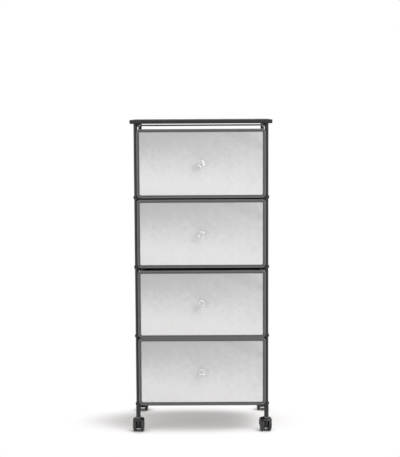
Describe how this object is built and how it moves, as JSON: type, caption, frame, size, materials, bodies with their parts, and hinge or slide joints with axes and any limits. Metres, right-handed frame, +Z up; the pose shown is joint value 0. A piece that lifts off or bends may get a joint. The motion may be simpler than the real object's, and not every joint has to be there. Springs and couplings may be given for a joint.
{
  "type": "rolling drawer cart",
  "caption": "Narrow rolling drawer cart: black tube frame with a flat top board, stacked fabric drawers with bound pale fronts and clear knobs, on hooded swivel casters.",
  "frame": {"origin": "on the floor under the middle of the cart's box", "axes": "+Z up, -Y to the front where the knobs are, +X to the right seen from the front"},
  "size_m": [0.447, 0.3292, 0.9971],
  "materials": {
    "board": "black laminated board, satin",
    "steel_paint": "black powder coat, satin",
    "sleeve": "black moulded plastic",
    "bin_fabric": "dark grey non-woven cloth",
    "front_cloth": "pale grey mottled cloth on a stiff board",
    "binding": "grey folded tape",
    "base_board": "grey pressed board",
    "knob": "clear polished acrylic",
    "caster": "black moulded nylon",
    "wheel": "black moulded nylon, worn tread",
    "bright_steel": "zinc-plated steel"
  },
  "bodies": {
    "frame": {"top_board": "board", "side_frame_left": "steel_paint", "side_frame_right": "steel_paint", "front_bar_1": "steel_paint", "front_bar_2": "steel_paint", "front_bar_3": "steel_paint", "front_bar_4": "steel_paint", "rear_bar_1": "steel_paint", "rear_bar_2": "steel_paint", "rear_bar_3": "steel_paint", "rear_bar_4": "steel_paint", "rear_top_rod": "steel_paint", "leg_sleeve_front_left": "sleeve", "leg_sleeve_front_right": "sleeve", "leg_sleeve_rear_left": "sleeve", "leg_sleeve_rear_right": "sleeve", "caster_stem_front_left": "bright_steel", "caster_stem_front_right": "bright_steel", "caster_stem_rear_left": "bright_steel", "caster_stem_rear_right": "bright_steel"},
    "drawer_1": {"drawer_bin_1": "bin_fabric", "drawer_base_1": "base_board", "drawer_front_1": "front_cloth", "drawer_binding_1": "binding", "drawer_knob_1": "knob"},
    "drawer_2": {"drawer_bin_2": "bin_fabric", "drawer_base_2": "base_board", "drawer_front_2": "front_cloth", "drawer_binding_2": "binding", "drawer_knob_2": "knob"},
    "drawer_3": {"drawer_bin_3": "bin_fabric", "drawer_base_3": "base_board", "drawer_front_3": "front_cloth", "drawer_binding_3": "binding", "drawer_knob_3": "knob"},
    "drawer_4": {"drawer_bin_4": "bin_fabric", "drawer_base_4": "base_board", "drawer_front_4": "front_cloth", "drawer_binding_4": "binding", "drawer_knob_4": "knob"},
    "caster_front_left": {"caster_housing_front_left": "caster"},
    "caster_front_right": {"caster_housing_front_right": "caster"},
    "caster_rear_left": {"caster_housing_rear_left": "caster"},
    "caster_rear_right": {"caster_housing_rear_right": "caster"},
    "wheels_front_left": {"caster_axle_front_left": "bright_steel", "caster_wheel_left_front_left": "wheel", "caster_wheel_right_front_left": "wheel"},
    "wheels_front_right": {"caster_axle_front_right": "bright_steel", "caster_wheel_left_front_right": "wheel", "caster_wheel_right_front_right": "wheel"},
    "wheels_rear_left": {"caster_axle_rear_left": "bright_steel", "caster_wheel_left_rear_left": "wheel", "caster_wheel_right_rear_left": "wheel"},
    "wheels_rear_right": {"caster_axle_rear_right": "bright_steel", "caster_wheel_left_rear_right": "wheel", "caster_wheel_right_rear_right": "wheel"}
  },
  "joints": [
    {"name": "drawer_1_slide", "type": "slide", "parent": "frame", "child": "drawer_1", "axis": [0, -1, 0], "range_m": [0, 0.18]},
    {"name": "drawer_2_slide", "type": "slide", "parent": "frame", "child": "drawer_2", "axis": [0, -1, 0], "range_m": [0, 0.18]},
    {"name": "drawer_3_slide", "type": "slide", "parent": "frame", "child": "drawer_3", "axis": [0, -1, 0], "range_m": [0, 0.18]},
    {"name": "drawer_4_slide", "type": "slide", "parent": "frame", "child": "drawer_4", "axis": [0, -1, 0], "range_m": [0, 0.18]},
    {"name": "swivel_front_left", "type": "hinge", "parent": "frame", "child": "caster_front_left", "pos_m": [-0.205, -0.13235, 0.047], "axis": [0, 0, 1], "continuous": true},
    {"name": "swivel_front_right", "type": "hinge", "parent": "frame", "child": "caster_front_right", "pos_m": [0.205, -0.13235, 0.047], "axis": [0, 0, 1], "continuous": true},
    {"name": "swivel_rear_left", "type": "hinge", "parent": "frame", "child": "caster_rear_left", "pos_m": [-0.205, 0.12765, 0.047], "axis": [0, 0, 1], "continuous": true},
    {"name": "swivel_rear_right", "type": "hinge", "parent": "frame", "child": "caster_rear_right", "pos_m": [0.205, 0.12765, 0.047], "axis": [0, 0, 1], "continuous": true},
    {"name": "roll_front_left", "type": "hinge", "parent": "caster_front_left", "child": "wheels_front_left", "pos_m": [-0.205, -0.12035, 0.021], "axis": [1, 0, 0], "continuous": true},
    {"name": "roll_front_right", "type": "hinge", "parent": "caster_front_right", "child": "wheels_front_right", "pos_m": [0.20312, -0.1205, 0.021], "axis": [0.9877, 0.1564, 0], "continuous": true},
    {"name": "roll_rear_left", "type": "hinge", "parent": "caster_rear_left", "child": "wheels_rear_left", "pos_m": [-0.205, 0.13965, 0.021], "axis": [1, 0, 0], "continuous": true},
    {"name": "roll_rear_right", "type": "hinge", "parent": "caster_rear_right", "child": "wheels_rear_right", "pos_m": [0.205, 0.13965, 0.021], "axis": [1, 0, 0], "continuous": true}
  ]
}
